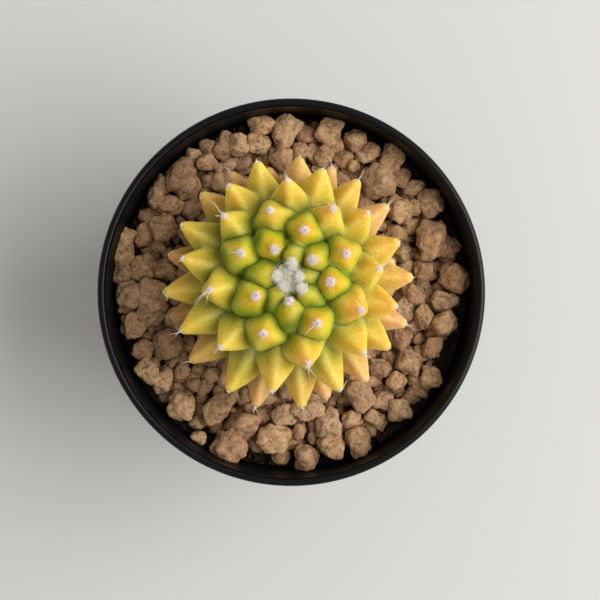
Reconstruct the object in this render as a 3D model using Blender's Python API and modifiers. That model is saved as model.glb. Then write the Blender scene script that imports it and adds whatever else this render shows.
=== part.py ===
"""Potted mammillaria: a small globular cactus with long pointed tubercles, standing in the gravel
of a round black nursery pot. Metres, +Z up, origin at the middle of the pot's foot."""

import math
import random

import bmesh
import bpy
import numpy as np
from mathutils import Matrix, Vector

MM = 0.001
CLEAR = 0.3 * MM  # gap kept between neighbouring pieces
GOLDEN_ANGLE = math.radians(137.5)

# Pot: a thin moulded shell with a collar under a rolled lip
POT_HEIGHT = 70.0 * MM
RIM_RADIUS = 40.0 * MM
FOOT_RADIUS = 29.0 * MM
POT_WALL = 1.1 * MM
LIP_BULGE = 0.7 * MM  # how far the lip stands out from the collar
COLLAR_HEIGHT = 14.0 * MM
COLLAR_STEP = 1.9 * MM
COLLAR_TAPER = 0.7 * MM
FLOOR_LIFT = 1.8 * MM  # height of the floor's underside above the foot
FOOT_WIDTH = 2.2 * MM
POT_SEGMENTS = 48
FILL_SEGMENTS = 36
DRAIN_RADIUS = 3.0 * MM
DRAIN_RING_RADIUS = 16.0 * MM
DRAIN_RING_COUNT = 6
DRAIN_CUT_DEPTH = 8.0 * MM
DRAIN_SEGMENTS = 12

# Soil and gravel: two fills, the gravel as a bed with granules bedded in its top
GRAVEL_DEPTH = 8.0 * MM
BED_BELOW_RIM = 11.0 * MM
SOIL_EDGE = 1.5 * MM  # how far the soil's edges are rounded off
STEM_HOLE_SLACK = 3.0 * MM  # round the neck, in the gravel
GRANULE_SEED = 21
GRANULE_COUNT = 108
GRANULE_RADIUS_MM = (3.1, 4.7)  # least and most
GRANULE_RING = (16.0 * MM, 34.8 * MM)  # where their middles lie, from the pot's middle line
GRANULE_JITTER = 0.5 * MM
GRANULE_POINTS = 9
GRANULE_TWIST = 0.35  # radians by which its corners may lie off their spiral
GRANULE_SQUASH = 0.85
GRANULE_STRETCH = ((0.9, 1.15), (0.85, 1.0))  # along and across, least and most
GRANULE_ROUGHNESS = (0.9, 1.06)  # how far its corners lie, as shares of the radius
GRANULE_EDGE_GAP = 0.4 * MM  # from a granule's side to the pot's wall
GRANULE_FROM_NECK = 5.5 * MM
GRANULE_LIFT = 0.3  # of its radius, from the bed to its middle
LOW_GRANULE_TOP = 1.6 * MM  # above the bed, beside the stem
UNDER_PLANT_RADIUS = 25.0 * MM  # granules inside it lie low, under the lowest tubercles

# Cactus: a domed stem with tubercles on a golden-angle spiral
PLANT_X = -0.4 * MM
PLANT_Y = 2.7 * MM
STEM_RADIUS = 14.4 * MM
SHOULDER_Z = 74.5 * MM  # where the dome meets the stem's straight side
BELLY_RADIUS = 14.0 * MM
WAIST_RADIUS = 11.0 * MM
COLLET_RADIUS = 9.6 * MM  # where the stem leaves the gravel
NECK_RADIUS = 8.6 * MM
ROOT_RADIUS = 5.2 * MM
NECK_DEPTH = 9.0 * MM  # how far the neck stands in the soil
ROOT_DEPTH = 7.2 * MM  # where the neck starts to close
WAIST_ABOVE_BED = 1.5 * MM
BELLY_ABOVE_WAIST = 4.0 * MM
DOME_STEPS = 6
STEM_SEGMENTS = 24
TUBERCLE_COUNT = 58
SPIRAL_TURN = math.radians(-137.285)  # clockwise, seen from above
SPIRAL_START = math.radians(5.9)
SHOULDER_INDEX = 38  # the tubercle that stands at the shoulder
DROP_PER_TUBERCLE = 0.42 * MM  # below the shoulder
ROOT_SUNK = 5.0 * MM
TUBERCLE_SIDES = 8
TUBERCLE_RINGS = (0.05, 0.4, 0.7, 0.93)  # shares of the length, with a woolly pad's ring to follow
RIDGE = 0.07  # how far the four ridges stand out, as a share of the width
PAD_DOME = 0.5  # the pad's height as a share of its radius
SPINE_THICKNESS = 0.24 * MM
SPINE_TAPER = 3.0  # how many times thinner a spine is at its tip
SPINE_SUNK = 0.5 * MM
SPINE_LENGTH_MM = (2.2, 3.8)
SPINE_SPREAD = 0.7  # sideways, outwards and upwards, against one along the tubercle
SPINE_OUTWARD = 0.5
SPINE_RISE = 0.3
SPINES_ON_ONE = (1, 2, 2)  # drawn from for each tubercle
SPINE_SEED = 5
YOUNG_COUNT = 8  # tubercles too young for long spines
WOOLLY_COUNT = 5  # the youngest tubercles, whose pads are part of the crown's wool
WOOL_RADIUS = 2.9 * MM
WOOL_THICKNESS = 1.5 * MM
WOOL_TUFTS = 7
TUFT_RADIUS = 0.83 * MM
TUFT_RING = 2.2 * MM  # the circle that the tufts are spread over
TUFT_LIFT = 0.25 * MM

# What changes from the crown outwards: tubercle index, then millimetres. Footing and tip are
# distances from the plant's middle line, and the length runs from the stem's surface to the tip.
GROWTH_INDEX = (0, 4, 5, 10, 15, 20, 25, 30, 38, 48, 58)
FOOTING_MM = (4.6, 6.0, 7.0, 9.2, 11.2, 12.7, 13.6, 14.0, 14.4, 14.4, 14.2)
TIP_MM = (2.1, 3.1, 5.0, 9.4, 13.7, 17.5, 21.0, 23.4, 25.2, 25.9, 25.6)
LENGTH_MM = (3.4, 4.5, 5.5, 7.2, 8.6, 9.6, 10.4, 11.0, 11.6, 11.8, 11.6)
HALF_WIDTH_MM = (2.3, 2.6, 2.8, 3.4, 3.9, 4.2, 4.4, 4.5, 4.4, 4.1, 3.8)
PAD_MM = (0.9, 1.0, 1.0, 0.95, 0.85, 0.8, 0.7, 0.65, 0.6, 0.6, 0.6)  # radius of the woolly pad
YOUNG_SHAPE = (2.6, 0.75)  # powers that round a young tubercle off towards its pad
OLD_SHAPE = 1.6  # the power for an old one, nearly a plain cone
OLD_INDEX = 26  # the first tubercle with an old one's shape


def clear_scene():
    for obj in list(bpy.data.objects):
        bpy.data.objects.remove(obj, do_unlink=True)


def make_material(name, colour, roughness, metallic=0.0):
    """A plain Principled material in the part's colour."""
    material = bpy.data.materials.new(name)
    material.use_nodes = True
    shader = material.node_tree.nodes["Principled BSDF"]
    shader.inputs["Base Color"].default_value = (*colour, 1.0)
    shader.inputs["Roughness"].default_value = roughness
    shader.inputs["Metallic"].default_value = metallic
    return material


def link(obj, collection):
    collection.objects.link(obj)
    return obj


def object_from(name, bm, collection):
    """A new object that holds the bmesh."""
    bmesh.ops.recalc_face_normals(bm, faces=bm.faces)
    mesh = bpy.data.meshes.new(name)
    bm.to_mesh(mesh)
    bm.free()
    return link(bpy.data.objects.new(name, mesh), collection)


def finish(obj, material, sharp_degrees=40):
    obj.data.materials.clear()
    obj.data.materials.append(material)
    obj.data.shade_smooth()
    obj.data.set_sharp_from_angle(angle=math.radians(sharp_degrees))


def bake_modifiers(obj):
    """Replaces the object's mesh by what its modifiers make of it."""
    graph = bpy.context.evaluated_depsgraph_get()
    mesh = bpy.data.meshes.new_from_object(obj.evaluated_get(graph))
    obj.modifiers.clear()
    obj.data = mesh


def turned(name, profile, segments, collection):
    """A solid of revolution about Z from (radius, height) points, run down its outer side."""
    mesh = bpy.data.meshes.new(name)
    points = [(radius, 0.0, height) for radius, height in profile]
    edges = [(i, (i + 1) % len(points)) for i in range(len(points))]
    if profile[0][0] == 0.0:
        edges.pop()  # the profile starts and ends on the axis
    mesh.from_pydata(points, edges, [])
    obj = link(bpy.data.objects.new(name, mesh), collection)
    screw = obj.modifiers.new("turn", "SCREW")
    screw.steps = segments
    screw.render_steps = segments
    screw.use_merge_vertices = True
    screw.merge_threshold = 1e-6
    bake_modifiers(obj)
    return obj


def boolean(obj, operation, collection, solver="MANIFOLD"):
    """Joins or cuts the object with every object of a collection, which is then emptied."""
    modifier = obj.modifiers.new(operation.lower(), "BOOLEAN")
    modifier.operation = operation
    modifier.operand_type = "COLLECTION"
    modifier.collection = collection
    modifier.solver = solver
    bake_modifiers(obj)
    for tool in list(collection.objects):
        bpy.data.objects.remove(tool, do_unlink=True)


def keep_main_body(obj):
    """Drops all but the largest closed surface, which fills any hollow that a union sealed."""
    bm = bmesh.new()
    bm.from_mesh(obj.data)
    unseen = set(bm.verts)
    bodies = []
    while unseen:
        body = set()
        front = [unseen.pop()]
        while front:
            vert = front.pop()
            body.add(vert)
            near = {edge.other_vert(vert) for edge in vert.link_edges} & unseen
            unseen -= near
            front.extend(near)
        bodies.append(body)
    main_body = max(bodies, key=len)
    extra = [vert for vert in bm.verts if vert not in main_body]
    bmesh.ops.delete(bm, geom=extra, context="VERTS")
    bm.to_mesh(obj.data)
    bm.free()


def inner_radius(height):
    """The pot wall's inner radius at a height, on the collar and on the body below it."""
    step_z = POT_HEIGHT - COLLAR_HEIGHT
    collar_top = RIM_RADIUS - LIP_BULGE - POT_WALL
    collar_foot = collar_top - COLLAR_TAPER
    body_top = collar_foot - COLLAR_STEP
    if height >= step_z:
        return collar_foot + COLLAR_TAPER * (height - step_z) / COLLAR_HEIGHT
    return FOOT_RADIUS - POT_WALL + (body_top + POT_WALL - FOOT_RADIUS) * height / step_z


def lip_profile():
    """The lip's rounded top, from its outer side over to the inner wall."""
    inner = inner_radius(POT_HEIGHT)
    mid = (RIM_RADIUS + inner) / 2
    half = (RIM_RADIUS - inner) / 2
    steps = 4
    return [
        (
            mid + half * math.cos(math.pi * i / steps),
            POT_HEIGHT - half * (1 - math.sin(math.pi * i / steps)),
        )
        for i in range(steps + 1)
    ]


def pot_profile():
    """The pot's section, from the foot's outer edge up outside, over the lip and down inside."""
    step_z = POT_HEIGHT - COLLAR_HEIGHT
    edge = 0.6 * MM
    lip = lip_profile()
    lip_foot = POT_HEIGHT - 3.0 * MM
    floor_top = FLOOR_LIFT + POT_WALL
    step_in = step_z + POT_WALL
    outside = [
        (0.0, FLOOR_LIFT),
        (FOOT_RADIUS - FOOT_WIDTH - edge, FLOOR_LIFT),
        (FOOT_RADIUS - FOOT_WIDTH, 0.0),
        (FOOT_RADIUS - edge, 0.0),
        (FOOT_RADIUS, edge),
        (inner_radius(step_z - CLEAR) + POT_WALL, step_z - 2 * edge),
        (inner_radius(step_z) + POT_WALL - edge, step_z - edge),
        (inner_radius(step_z) + POT_WALL, step_z + edge / 2),
        (inner_radius(lip_foot) + POT_WALL, lip_foot),
        (RIM_RADIUS, lip_foot + edge),
    ]
    inside = [
        (inner_radius(step_in + edge), step_in + edge),
        (inner_radius(step_z - CLEAR), step_z - edge),
        (inner_radius(floor_top + 2 * edge), floor_top + 2 * edge),
        (inner_radius(floor_top) - 2 * edge, floor_top),
        (0.0, floor_top),
    ]
    return list(reversed(outside + lip + inside))


def build_pot(parts, helpers):
    """The nursery pot, with a raised floor that drain holes go through."""
    pot = turned("pot", pot_profile(), POT_SEGMENTS, parts)
    places = [(0.0, 0.0)]
    for i in range(DRAIN_RING_COUNT):
        angle = math.tau * i / DRAIN_RING_COUNT
        places.append((DRAIN_RING_RADIUS * math.cos(angle), DRAIN_RING_RADIUS * math.sin(angle)))
    for x, y in places:
        bm = bmesh.new()
        bmesh.ops.create_cone(
            bm, cap_ends=True, segments=DRAIN_SEGMENTS, radius1=DRAIN_RADIUS, radius2=DRAIN_RADIUS,
            depth=DRAIN_CUT_DEPTH, matrix=Matrix.Translation((x, y, FLOOR_LIFT)),
        )
        object_from("drain", bm, helpers)
    boolean(pot, "DIFFERENCE", helpers)
    finish(pot, make_material("black_plastic", (0.016, 0.017, 0.019), 0.42))
    return pot


def bed_height():
    return POT_HEIGHT - BED_BELOW_RIM


def stem_hole_cutter(bottom, radius, helpers):
    """A plain upright hole for the stem, open at the top."""
    top = POT_HEIGHT + 10 * MM
    bm = bmesh.new()
    bmesh.ops.create_cone(
        bm, cap_ends=True, segments=STEM_SEGMENTS, radius1=radius, radius2=radius,
        depth=top - bottom, matrix=Matrix.Translation((PLANT_X, PLANT_Y, (top + bottom) / 2)),
    )
    object_from("stem_hole", bm, helpers)


def build_soil(parts, helpers):
    """The potting soil under the gravel, filling the pot down to its floor."""
    top = bed_height() - GRAVEL_DEPTH
    bottom = FLOOR_LIFT + POT_WALL + CLEAR
    profile = [
        (0.0, top),
        (inner_radius(top) - CLEAR - SOIL_EDGE / 2, top),
        (inner_radius(top - SOIL_EDGE) - CLEAR, top - SOIL_EDGE),
        (inner_radius(bottom + SOIL_EDGE) - CLEAR, bottom + SOIL_EDGE),
        (inner_radius(bottom) - CLEAR - SOIL_EDGE, bottom),
        (0.0, bottom),
    ]
    soil = turned("soil", profile, FILL_SEGMENTS, parts)
    stem_hole_cutter(top - NECK_DEPTH - CLEAR, NECK_RADIUS + CLEAR, helpers)
    boolean(soil, "DIFFERENCE", helpers)
    finish(soil, make_material("potting_soil", (0.035, 0.022, 0.014), 0.95))
    return soil


def granule_places(rng):
    """Places and radii of the granules, spread over the ring as seeds are in a sunflower."""
    near, far = GRANULE_RING
    reach = inner_radius(bed_height()) - GRANULE_EDGE_GAP
    placed = []
    for i in range(GRANULE_COUNT):
        share = (i + 0.5) / GRANULE_COUNT
        radius = rng.uniform(*GRANULE_RADIUS_MM) * MM
        distance = math.sqrt(near**2 + (far**2 - near**2) * share)
        distance = min(distance + rng.uniform(-GRANULE_JITTER, GRANULE_JITTER), reach - radius)
        angle = i * GOLDEN_ANGLE + rng.uniform(-GRANULE_JITTER, GRANULE_JITTER) / distance
        x, y = distance * math.cos(angle), distance * math.sin(angle)
        if math.hypot(x - PLANT_X, y - PLANT_Y) > NECK_RADIUS + GRANULE_FROM_NECK:
            placed.append((x, y, radius))
    return placed


def granule_rise(x, y, radius):
    """How far a granule's middle stands above the bed."""
    from_plant = math.hypot(x - PLANT_X, y - PLANT_Y)
    open_share = (from_plant - STEM_RADIUS) / (UNDER_PLANT_RADIUS - STEM_RADIUS)
    open_share = min(1.0, max(0.0, open_share))
    low = LOW_GRANULE_TOP - radius * GRANULE_SQUASH
    high = GRANULE_LIFT * radius
    return low + (high - low) * open_share


def granule_mesh(radius, rng):
    """An angular crushed stone: the hull of points thrown on a squashed ball."""
    bm = bmesh.new()
    along, across = GRANULE_STRETCH
    stretch = Vector((rng.uniform(*along), rng.uniform(*across), GRANULE_SQUASH))
    for i in range(GRANULE_POINTS):
        height = 1 - 2 * (i + 0.5) / GRANULE_POINTS
        around = i * GOLDEN_ANGLE + rng.uniform(-GRANULE_TWIST, GRANULE_TWIST)
        ring = math.sqrt(1 - height * height)
        point = Vector((ring * math.cos(around), ring * math.sin(around), height))
        size = radius * rng.uniform(*GRANULE_ROUGHNESS)
        bm.verts.new(Vector(a * b for a, b in zip(point, stretch)) * size)
    hull = bmesh.ops.convex_hull(bm, input=bm.verts)
    loose = [v for v in hull["geom_interior"] if isinstance(v, bmesh.types.BMVert)]
    bmesh.ops.delete(bm, geom=loose, context="VERTS")
    return bm


def build_gravel(parts, helpers):
    """The top dressing: a bed right across the pot, with granules bedded in it."""
    top = bed_height()
    bottom = top - GRAVEL_DEPTH + CLEAR
    step_z = POT_HEIGHT - COLLAR_HEIGHT
    profile = [
        (0.0, top),
        (inner_radius(top) - CLEAR, top),
        (inner_radius(step_z + 2 * MM) - CLEAR, step_z + 2 * MM),
        (inner_radius(step_z - 1 * MM) - CLEAR, step_z - 1 * MM),
        (inner_radius(bottom) - CLEAR, bottom),
        (0.0, bottom),
    ]
    gravel = turned("gravel", profile, FILL_SEGMENTS, parts)
    stem_hole_cutter(bottom - GRAVEL_DEPTH / 2, NECK_RADIUS + STEM_HOLE_SLACK, helpers)
    boolean(gravel, "DIFFERENCE", helpers)
    rng = random.Random(GRANULE_SEED)
    for x, y, radius in granule_places(rng):
        bm = granule_mesh(radius, rng)
        place = Vector((x, y, top + granule_rise(x, y, radius)))
        turn = Matrix.Rotation(rng.uniform(0.0, math.tau), 4, "Z")
        bmesh.ops.transform(bm, matrix=Matrix.Translation(place) @ turn, verts=bm.verts)
        object_from("granule", bm, helpers)
    boolean(gravel, "UNION", helpers)
    keep_main_body(gravel)
    finish(gravel, make_material("tan_gravel", (0.32, 0.19, 0.10), 0.95), 20)
    return gravel


def grown(index, values):
    """A value at a tubercle, read between those given for GROWTH_INDEX."""
    return float(np.interp(index, GROWTH_INDEX, values))


def tubercle_frame(index):
    """Where a tubercle leaves the stem, and the way it points."""
    angle = SPIRAL_START + SPIRAL_TURN * index
    outward = Vector((math.cos(angle), math.sin(angle), 0.0))
    footing = grown(index, FOOTING_MM) * MM
    if index < SHOULDER_INDEX:
        rise = math.sqrt(max(0.0, STEM_RADIUS**2 - footing**2))
    else:
        rise = -(index - SHOULDER_INDEX) * DROP_PER_TUBERCLE
    foot = Vector((PLANT_X, PLANT_Y, SHOULDER_Z + rise)) + outward * footing
    lean = math.asin((grown(index, TIP_MM) * MM - footing) / (grown(index, LENGTH_MM) * MM))
    axis = outward * math.sin(lean) + Vector((0.0, 0.0, math.cos(lean)))
    return foot, axis, outward


def width_at(share, index):
    """A tubercle's half width at a share of its length: blunt when young, drawn out when old."""
    age = min(1.0, index / OLD_INDEX)
    young = (1 - share ** YOUNG_SHAPE[0]) ** YOUNG_SHAPE[1]
    old = 1 - share**OLD_SHAPE
    pad = grown(index, PAD_MM)
    return (pad + (grown(index, HALF_WIDTH_MM) - pad) * (young + (old - young) * age)) * MM


def tubercle_axes(axis, outward):
    """Turns local Z to the tubercle's axis, and local X to the sideways direction."""
    side = outward.cross(Vector((0.0, 0.0, 1.0))).normalized()
    back = axis.cross(side).normalized()
    return Matrix((side, back, axis)).transposed().to_4x4()


def tubercle_mesh(index):
    """A UV sphere drawn out to a four-ridged cone that ends in a woolly pad, its root in the stem."""
    foot, axis, outward = tubercle_frame(index)
    length = grown(index, LENGTH_MM) * MM
    pad = grown(index, PAD_MM) * MM
    rings = len(TUBERCLE_RINGS) + 1
    bm = bmesh.new()
    bmesh.ops.create_uvsphere(bm, u_segments=TUBERCLE_SIDES, v_segments=rings + 1, radius=1.0)
    for vert in bm.verts:
        ring = rings - round((rings + 1) * math.acos(max(-1.0, min(1.0, vert.co.z))) / math.pi)
        around = math.atan2(vert.co.y, vert.co.x)
        if ring < 0:
            vert.co = Vector((0.0, 0.0, -ROOT_SUNK))
        elif ring == rings:
            vert.co = Vector((0.0, 0.0, length + pad * PAD_DOME))
        elif ring == rings - 1:
            vert.co = Vector((pad * math.cos(around), pad * math.sin(around), length))
        else:
            share = TUBERCLE_RINGS[ring]
            width = width_at(share, index) * (1 + RIDGE * math.cos(4 * around))
            vert.co = Vector((width * math.cos(around), width * math.sin(around), length * share))
    turn = tubercle_axes(axis, outward)
    bmesh.ops.transform(bm, matrix=Matrix.Translation(foot) @ turn, verts=bm.verts)
    return bm


def spine_mesh(index, rng):
    """One thin three-sided spine that leaves the areole outwards."""
    foot, axis, outward = tubercle_frame(index)
    tip = foot + axis * grown(index, LENGTH_MM) * MM
    side = outward.cross(Vector((0.0, 0.0, 1.0)))
    way = axis + side * rng.uniform(-SPINE_SPREAD, SPINE_SPREAD)
    way = way + outward * rng.uniform(0.0, SPINE_OUTWARD)
    way = (way + Vector((0.0, 0.0, rng.uniform(-SPINE_RISE, SPINE_RISE)))).normalized()
    length = rng.uniform(*SPINE_LENGTH_MM) * MM
    turn = way.to_track_quat("Z", "Y").to_matrix().to_4x4()
    middle = tip + way * (length / 2 - SPINE_SUNK)
    root = SPINE_THICKNESS / 2
    bm = bmesh.new()
    bmesh.ops.create_cone(
        bm, cap_ends=True, segments=3, radius1=root, radius2=root / SPINE_TAPER, depth=length,
        matrix=Matrix.Translation(middle) @ turn,
    )
    return bm


def stem_profile():
    """The stem's section: a dome, a straight side, and a neck that stands in the soil."""
    soil_top = bed_height() - GRAVEL_DEPTH
    waist_z = bed_height() + WAIST_ABOVE_BED
    profile = []
    for i in range(DOME_STEPS + 1):
        angle = math.pi / 2 * i / DOME_STEPS
        radius = STEM_RADIUS * math.sin(angle) if i else 0.0
        profile.append((radius, SHOULDER_Z + STEM_RADIUS * math.cos(angle)))
    profile += [
        (BELLY_RADIUS, waist_z + BELLY_ABOVE_WAIST),
        (WAIST_RADIUS, waist_z),
        (COLLET_RADIUS, bed_height() - WAIST_ABOVE_BED),
        (NECK_RADIUS, soil_top),
        (ROOT_RADIUS, soil_top - ROOT_DEPTH),
        (0.0, soil_top - NECK_DEPTH),
    ]
    return profile


def build_cactus(parts, helpers):
    """The plant: stem, tubercles, their woolly pads and spines, grown as one body."""
    cactus = turned("cactus", stem_profile(), STEM_SEGMENTS, parts)
    cactus.data.transform(Matrix.Translation((PLANT_X, PLANT_Y, 0.0)))
    rng = random.Random(SPINE_SEED)
    for index in range(TUBERCLE_COUNT):
        object_from("tubercle", tubercle_mesh(index), helpers)
        if index >= YOUNG_COUNT:
            for _ in range(rng.choice(SPINES_ON_ONE)):
                object_from("spine", spine_mesh(index, rng), helpers)
    boolean(cactus, "UNION", helpers)
    keep_main_body(cactus)
    finish(cactus, make_material("yellow_flesh", (0.62, 0.50, 0.06), 0.45), 35)
    return cactus


def build_crown_wool(parts, helpers):
    """The cushion of white wool that lies over the youngest tubercles."""
    foot, axis, _ = tubercle_frame(WOOLLY_COUNT - 1)
    tips_z = foot.z + axis.z * grown(WOOLLY_COUNT - 1, LENGTH_MM) * MM
    base = Vector((PLANT_X, PLANT_Y, tips_z + CLEAR + WOOL_THICKNESS / 2))
    bm = bmesh.new()
    bmesh.ops.create_icosphere(bm, subdivisions=2, radius=WOOL_RADIUS)
    squash = Matrix.Diagonal((1.0, 1.0, WOOL_THICKNESS / 2 / WOOL_RADIUS, 1.0))
    bmesh.ops.transform(bm, matrix=Matrix.Translation(base) @ squash, verts=bm.verts)
    wool = object_from("crown_wool", bm, parts)
    for i in range(WOOL_TUFTS):
        angle = i * GOLDEN_ANGLE
        out = TUFT_RING * math.sqrt(i / WOOL_TUFTS)
        tuft = Vector((out * math.cos(angle), out * math.sin(angle), TUFT_LIFT))
        bm = bmesh.new()
        bmesh.ops.create_icosphere(
            bm, subdivisions=1, radius=TUFT_RADIUS, matrix=Matrix.Translation(base + tuft)
        )
        object_from("tuft", bm, helpers)
    boolean(wool, "UNION", helpers)
    finish(wool, make_material("white_wool", (0.82, 0.80, 0.76), 0.95))
    return wool


def main():
    clear_scene()
    scene = bpy.context.scene
    parts = bpy.data.collections.new("potted_mammillaria")
    helpers = bpy.data.collections.new("cutters")
    scene.collection.children.link(parts)
    scene.collection.children.link(helpers)
    build_pot(parts, helpers)
    build_soil(parts, helpers)
    build_gravel(parts, helpers)
    build_cactus(parts, helpers)
    build_crown_wool(parts, helpers)
    for obj in parts.objects:
        triangles = sum(len(face.vertices) - 2 for face in obj.data.polygons)
        print(obj.name, triangles, "triangles")


main()
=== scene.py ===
import math
from functools import partial

import bmesh
import bpy
import numpy as np
from mathutils import Matrix, Vector, noise


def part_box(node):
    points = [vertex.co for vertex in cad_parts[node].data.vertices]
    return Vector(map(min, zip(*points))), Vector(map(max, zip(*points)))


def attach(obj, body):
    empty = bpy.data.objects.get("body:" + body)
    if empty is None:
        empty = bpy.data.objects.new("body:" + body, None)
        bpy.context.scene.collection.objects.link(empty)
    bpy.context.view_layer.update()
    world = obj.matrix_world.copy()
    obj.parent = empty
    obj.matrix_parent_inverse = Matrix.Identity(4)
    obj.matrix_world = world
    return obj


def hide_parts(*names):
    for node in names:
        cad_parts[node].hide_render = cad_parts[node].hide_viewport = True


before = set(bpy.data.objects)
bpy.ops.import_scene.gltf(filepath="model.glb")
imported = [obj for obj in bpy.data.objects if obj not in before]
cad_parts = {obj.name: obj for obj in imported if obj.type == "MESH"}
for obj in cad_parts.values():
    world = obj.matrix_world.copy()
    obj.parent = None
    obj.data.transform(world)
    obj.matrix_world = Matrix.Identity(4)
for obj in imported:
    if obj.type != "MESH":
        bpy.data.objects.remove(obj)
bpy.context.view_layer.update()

mm = 0.001  # meshes are worked out in millimetres and scaled to metres once, in addPiece


# Colours, nodes and meshes

def hexColour(code):  # sRGB hex to linear RGBA
    parts = [int(code[i:i + 2], 16) / 255 for i in (1, 3, 5)]
    linear = [c / 12.92 if c <= 0.04045 else ((c + 0.055) / 1.055) ** 2.4 for c in parts]
    return (*linear, 1.0)


def addNode(material, kind, links=None, stops=None, **settings):
    # links: input name or number -> a value, or (node, output) to join it to; stops: a ramp's colours.
    # Inputs 0 to 4 of a MapRange are its value and its from and to ranges, 0 to 2 of a MixRGB are its
    # share and its two colours, and 0 to 2 of a Math node are its numbers
    tree = material.node_tree
    node = tree.nodes.new("ShaderNode" + kind)
    for name, value in settings.items():
        setattr(node, name, value)
    for socket, value in (links or {}).items():
        if isinstance(value, tuple) and isinstance(value[0], bpy.types.Node):
            tree.links.new(value[0].outputs[value[1]], node.inputs[socket])
        elif isinstance(value, str):
            node.inputs[socket].default_value = hexColour(value)
        else:
            node.inputs[socket].default_value = value
    if stops:
        elements = node.color_ramp.elements
        while len(elements) < len(stops):
            elements.new(0.5)
        for element, (place, colour) in zip(elements, stops):
            element.position = place
            element.color = hexColour(colour)
    return node


def newMaterial(name, **surface):
    # a Principled surface whose constants sit on the shader's own sockets, and what adds nodes to it
    material = bpy.data.materials.new(name)
    material.use_nodes = True
    shader = material.node_tree.nodes["Principled BSDF"]
    for socket, value in surface.items():
        shader.inputs[socket.replace("_", " ")].default_value = value
    return material, shader, partial(addNode, material)


def joinTo(material, shader, **sources):
    for socket, (node, output) in sources.items():
        material.node_tree.links.new(node.outputs[output], shader.inputs[socket.replace("_", " ")])


def setValues(mesh, **values):  # numbers for each point, which the materials read by name
    for key, numbers in values.items():
        mesh.attributes.new(key, "FLOAT", "POINT").data.foreach_set("value", np.asarray(numbers, "f"))


def meshFrom(name, points, faces, **values):
    mesh = bpy.data.meshes.new(name)
    mesh.from_pydata(points.tolist(), [], faces.tolist())
    setValues(mesh, **values)
    mesh.update()
    return mesh


def stacked(parts):  # (points, triangles, values for each point) sets as one
    starts = np.cumsum([0] + [len(part[0]) for part in parts])
    points = np.concatenate([part[0] for part in parts])
    faces = np.concatenate([part[1] + start for part, start in zip(parts, starts)])
    return points, faces, np.concatenate([part[2] for part in parts])


def skinned(rows, first, last):
    # triangles over rings of points, closed by a point at each end
    count, around = rows.shape[:2]
    points = np.concatenate([rows.reshape(-1, 3), [first, last]])
    i = np.arange(around)
    j = (i + 1) % around
    top = (count - 1) * around
    ends = np.full(around, count * around)
    faces = [np.stack([ends, j, i], axis=1), np.stack([top + i, top + j, ends + 1], axis=1)]
    for low in range(0, top, around):
        faces.append(np.stack([low + i, low + j, low + around + j], axis=1))
        faces.append(np.stack([low + i, low + around + j, low + around + i], axis=1))
    return points, np.concatenate(faces)


def turned(profile, segments):
    # (radius, height) points turned about Z, from the axis underneath round to the axis on top
    angles = np.arange(segments) * math.tau / segments
    rings = [np.stack([r * np.cos(angles), r * np.sin(angles), np.full(segments, z)], axis=1)
             for r, z in profile[1:-1]]
    return skinned(np.array(rings), (0, 0, profile[0][1]), (0, 0, profile[-1][1]))


def ball(subdivisions):  # points and triangles of a unit ball
    bm = bmesh.new()
    bmesh.ops.create_icosphere(bm, subdivisions=subdivisions, radius=1.0)
    points = np.array([vert.co for vert in bm.verts])
    faces = np.array([[vert.index for vert in face.verts] for face in bm.faces])
    bm.free()
    return points, faces


def noiseAt(points, scale, offset):  # smooth noise at each point, about -0.5 to 0.5
    shift = Vector((offset, offset * 0.37, -offset))
    return np.array([noise.noise(Vector(point) * scale + shift) for point in points])


def modified(mesh, *modifiers):
    # the mesh after modifiers, each (kind, settings)
    obj = bpy.data.objects.new("work", mesh)
    bpy.context.scene.collection.objects.link(obj)
    for kind, settings in modifiers:
        modifier = obj.modifiers.new(kind.lower(), kind)
        for key, value in settings.items():
            setattr(modifier, key, value)
    graph = bpy.context.evaluated_depsgraph_get()
    result = bpy.data.meshes.new_from_object(obj.evaluated_get(graph))
    bpy.data.objects.remove(obj, do_unlink=True)
    return result


def addPiece(name, mesh, material, replaced, sharpDegrees=180):
    mesh.transform(Matrix.Scale(mm, 4))
    mesh.materials.clear()
    mesh.materials.append(material)
    mesh.shade_smooth()
    if sharpDegrees < 180:
        mesh.set_sharp_from_angle(angle=math.radians(sharpDegrees))
    piece = bpy.data.objects.new(name, mesh)
    bpy.context.scene.collection.objects.link(piece)
    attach(piece, "root")
    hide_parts(replaced)
    print(" ", name, sum(len(face.vertices) - 2 for face in mesh.polygons), "triangles")


# The camera's view, which is the photo's

view = {
    "camera": (1.8, -1.6), "aboveRim": 300.0, "lens": 87.5, "sensor": 36.0,  # mm
    "pixels": 600,  # the photo's width and height
}


# The plant's rule of growth: the solid's, with the tips that show placed as in the photo, in mm

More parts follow.
